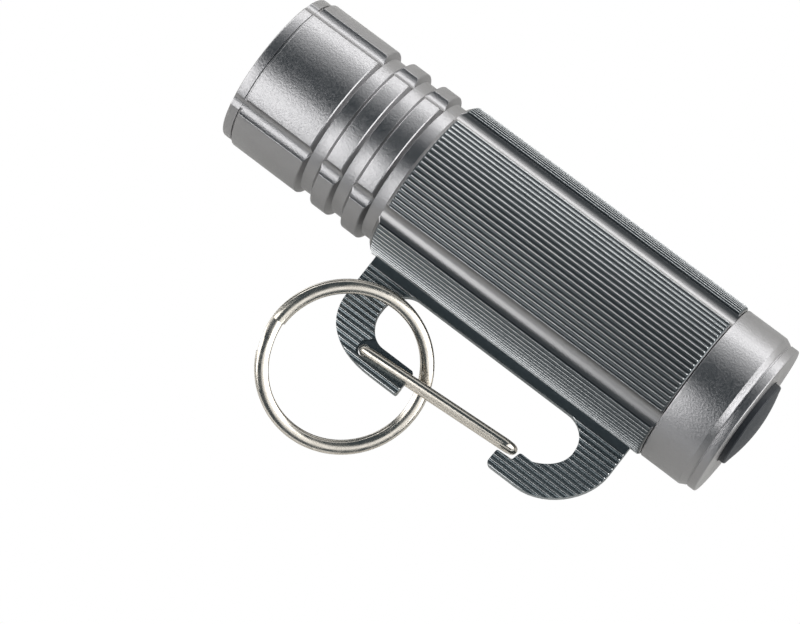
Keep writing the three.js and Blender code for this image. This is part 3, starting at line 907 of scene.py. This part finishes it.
def vacuum_metallised_plastic():
    """The reflector: aluminium on lacquered plastic, bright, with the lacquer's slow waviness."""
    made, tree = start_material("vacuum_metallised_plastic")
    where = add(tree, "ShaderNodeTexCoord")
    waves = add(tree, "ShaderNodeTexNoise", {
        "Vector": (where, "Object"), "Scale": per_metre(1.2), "Detail": 1,
    })
    tone = add(tree, "ShaderNodeMix", {
        "Factor": (waves, "Fac"), "A": linear("#e3e4e6"), "B": linear("#eeeeef"),
    }, data_type="RGBA")
    bump = add(tree, "ShaderNodeBump", {
        "Height": (waves, "Fac"), "Strength": 0.15, "Distance": 0.05 * MM,
    })
    shader = add(tree, "ShaderNodeBsdfPrincipled", {
        "Base Color": (tone, "Result"), "Metallic": 1, "Roughness": 0.06, "Normal": (bump, "Normal"),
    })
    end_material(tree, shader)
    return made


def plain_finish(name, dark, light, metallic, roughness, grain_mm, ior=1.5):
    """A finish with one grain: the colour moves between two tones and the grain is slightly raised."""
    made, tree = start_material(name)
    where = add(tree, "ShaderNodeTexCoord")
    grain = add(tree, "ShaderNodeTexNoise", {
        "Vector": (where, "Object"), "Scale": per_metre(grain_mm), "Detail": 3,
    })
    tone = add(tree, "ShaderNodeMix", {
        "Factor": (grain, "Fac"), "A": linear(dark), "B": linear(light),
    }, data_type="RGBA")
    bump = add(tree, "ShaderNodeBump", {
        "Height": (grain, "Fac"), "Strength": 0.2, "Distance": grain_mm / 10 * MM,
    })
    shader = add(tree, "ShaderNodeBsdfPrincipled", {
        "Base Color": (tone, "Result"), "Metallic": metallic, "Roughness": roughness, "IOR": ior,
        "Normal": (bump, "Normal"),
    })
    end_material(tree, shader)
    return made


# ---- pieces --------------------------------------------------------------------------------
blasted = blasted_anodised_aluminium()
extruded = extruded_anodised_aluminium()
nickel = nickel_plated_steel()

# Moulded nylon: milky and half matt, with a faint grain from the mould.
white_nylon = plain_finish("moulded_white_nylon", "#dcdbd3", "#eae9e2", 0, 0.45, 0.3)
black_nylon = plain_finish("moulded_black_nylon", "#17181a", "#232527", 0, 0.45, 0.3)
# Moulded nitrile: dull black with a dry bloom.
nitrile = plain_finish("moulded_nitrile", "#101112", "#1c1d1e", 0, 0.5, 0.25)
# Phosphor under clear silicone: a wet-looking yellow.
phosphor = plain_finish("phosphor_under_silicone", "#e8c93f", "#f2dd6b", 0, 0.12, 0.2, ior=1.41)
# Gold flash on drawn or stamped bronze: a soft yellow gloss.
gold = plain_finish("gold_plated_phosphor_bronze", "#d9a94a", "#e6bd66", 1, 0.25, 0.4)
# Bright drawn wire: a clean satin grey.
music_wire = plain_finish("bright_drawn_spring_steel", "#a9aaab", "#bdbdbc", 1, 0.28, 0.3)
# Turned brass: warm and satin, slightly mottled.
brass = plain_finish("turned_brass", "#b8924c", "#cfab63", 1, 0.3, 0.25)
# Screened solder mask: a glassy dark green, mottled by the weave below it.
solder_mask = plain_finish("green_solder_mask", "#0f4a2f", "#1a6140", 0, 0.35, 0.6)
# Moulded ferrite: dead matt and slightly gritty.
ferrite = plain_finish("moulded_ferrite", "#1f2021", "#303132", 0, 0.6, 0.15)
# Extruded silicone insulation: soft-looking, with a powdery surface.
red_silicone = plain_finish("red_silicone_insulation", "#8f1d1a", "#a82a25", 0, 0.5, 0.3)
black_silicone = plain_finish("black_silicone_insulation", "#141414", "#202020", 0, 0.5, 0.3)
# Printed metallic film shrunk on the cells: a deep blue with a broken metal gleam.
film = plain_finish("printed_metallic_film", "#27517f", "#346597", 0.6, 0.35, 1.5)

make_head(blasted)
make_bezel(blasted)
make_tail_cap(blasted)
make_grip(extruded)
make_gate(nickel)
make_split_ring(nickel)
make_button(moulded_silicone_rubber())
make_tail_seal(nitrile)
make_lens(coated_glass())
make_reflector(vacuum_metallised_plastic())
make_dome(phosphor)
make_centring_ring(white_nylon)

CARRIED_OVER = {
    nitrile: ["lens_gasket", "head_o_ring"],
    white_nylon: ["led_package", "switch_plunger"],
    solder_mask: ["led_board", "driver_board", "switch_board"],
    brass: ["heat_sink"],
    red_silicone: ["led_wire_positive"],
    black_silicone: ["led_wire_negative"],
    ferrite: ["driver_inductor"],
    gold: [
        "driver_contact_spring", "tail_contact_spring", "carrier_front_contact",
        "carrier_rear_contact",
    ],
    black_nylon: ["carrier_frame", "switch_housing"],
    film: ["cell_1", "cell_2", "cell_3"],
    music_wire: [
        "carrier_spring_1", "carrier_spring_2", "carrier_spring_3", "switch_spring",
        "switch_retaining_ring",
    ],
}
for look, nodes in CARRIED_OVER.items():
    for node in nodes:
        for material_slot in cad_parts[node].material_slots:
            material_slot.material = look


# ---- stage ---------------------------------------------------------------------------------
LOOK_AT = Vector((-7.46, -3.64, 14)) * MM


def direction(azimuth, elevation):
    """A unit vector: azimuth from +X towards +Y, elevation above the table, in degrees."""
    a, e = math.radians(azimuth), math.radians(elevation)
    return Vector((math.cos(e) * math.cos(a), math.cos(e) * math.sin(a), math.sin(e)))


def add_camera():
    """A long lens from almost straight above, turned so that the barrel falls away to the right."""
    azimuth, elevation = -41.29, 77.977
    distance = 578.2 * MM
    roll = math.radians(-38.396)
    back = direction(azimuth, elevation)
    north = Vector((0, 1, 0))
    north = (north - back * north.dot(back)).normalized()
    up = north * math.cos(roll) + (-back).cross(north) * math.sin(roll)
    right = up.cross(back)
    data = bpy.data.cameras.new("camera")
    data.lens = 170
    data.sensor_width = 36
    camera = bpy.data.objects.new("camera", data)
    bpy.context.scene.collection.objects.link(camera)
    turned = Matrix((right, up, back)).transposed().to_4x4()
    camera.matrix_world = Matrix.Translation(LOOK_AT + back * distance) @ turned
    bpy.context.scene.camera = camera


def panel_light(name, across, tilt, distance, width, length, shift, radiance):
    """A soft light, in degrees and metres. across is its angle from straight up towards -Y, round
    the barrel; tilt is its lean towards +X. Its length and shift run along the barrel."""
    a, t = math.radians(across), math.radians(tilt)
    toward = Vector((math.sin(t), -math.sin(a) * math.cos(t), math.cos(a) * math.cos(t)))
    data = bpy.data.lights.new(name, "AREA")
    data.shape = "RECTANGLE"
    data.size = length
    data.size_y = width
    data.energy = radiance * math.pi * width * length
    light = bpy.data.objects.new(name, data)
    bpy.context.scene.collection.objects.link(light)
    side = (Vector((1, 0, 0)) - toward * toward.x).normalized()
    turned = Matrix((side, toward.cross(side), toward)).transposed().to_4x4()
    where = LOOK_AT + toward * distance + Vector((shift, 0, 0))
    light.matrix_world = Matrix.Translation(where) @ turned
    light.visible_camera = False


def add_floor():
    """A pale table. Seen directly it glows evenly, so that the object stands on clean white; what
    the object mirrors is the same table as the lights leave it."""
    half = 3                         # metres
    below_object = 0.2 * MM
    corners = [(-half, -half, 0), (half, -half, 0), (half, half, 0), (-half, half, 0)]
    floor = solid("table", corners, [(0, 1, 2, 3)])
    floor.location.z = -below_object
    made, tree = start_material("white_acrylic_table")
    where = add(tree, "ShaderNodeTexCoord")
    clouds = add(tree, "ShaderNodeTexNoise", {"Vector": (where, "Object"), "Scale": per_metre(60)})
    tone = add(tree, "ShaderNodeMix", {
        "Factor": (clouds, "Fac"), "A": linear("#dcdad6"), "B": linear("#e0deda"),
    }, data_type="RGBA")
    lit = add(tree, "ShaderNodeBsdfPrincipled", {"Base Color": (tone, "Result"), "Roughness": 0.8})
    glow = add(tree, "ShaderNodeEmission", {"Color": linear("#ffffff")})
    rays = add(tree, "ShaderNodeLightPath")
    end_material(tree, add(tree, "ShaderNodeMixShader", {
        0: (rays, "Is Camera Ray"), 1: (lit, 0), 2: (glow, 0),
    }))
    floor.data.materials.append(made)


def add_surroundings():
    """A dim studio around the lights; seen directly it is nearly as pale as the table."""
    world = bpy.data.worlds.new("studio")
    world.use_nodes = True
    tree = world.node_tree
    tree.nodes.clear()
    dim = add(tree, "ShaderNodeBackground", {"Color": linear("#3f4a51")})
    pale = add(tree, "ShaderNodeBackground", {"Color": linear("#f4f4f4")})
    rays = add(tree, "ShaderNodeLightPath")
    mixed = add(tree, "ShaderNodeMixShader", {0: (rays, "Is Camera Ray"), 1: (dim, 0), 2: (pale, 0)})
    add(tree, "ShaderNodeOutputWorld", {"Surface": (mixed, 0)})
    bpy.context.scene.world = world


add_camera()
add_floor()
add_surroundings()
panel_light("key", across=42, tilt=0, distance=0.35, width=0.3, length=1.2, shift=-0.62, radiance=3)
panel_light("fill", across=-78, tilt=0, distance=0.4, width=0.17, length=1.4, shift=-0.3, radiance=3.4)
panel_light("upper_fill", across=-52, tilt=0, distance=0.4, width=0.2, length=1.4, shift=-0.3, radiance=0.8)
panel_light("tail", across=-35, tilt=65, distance=0.6, width=0.7, length=0.42, shift=0, radiance=4)
panel_light("rear_quarter", across=22, tilt=43, distance=0.6, width=0.3, length=0.22, shift=0, radiance=1.3)
panel_light("front_low", across=70, tilt=-62, distance=0.6, width=0.35, length=0.3, shift=0, radiance=2)
panel_light("front_high", across=-70, tilt=-62, distance=0.6, width=0.35, length=0.3, shift=0, radiance=1.6)
panel_light("low", across=80, tilt=0, distance=0.4, width=0.1, length=0.5, shift=0.15, radiance=1.2)
bpy.context.scene.view_settings.view_transform = "Standard"

bpy.context.view_layer.update()
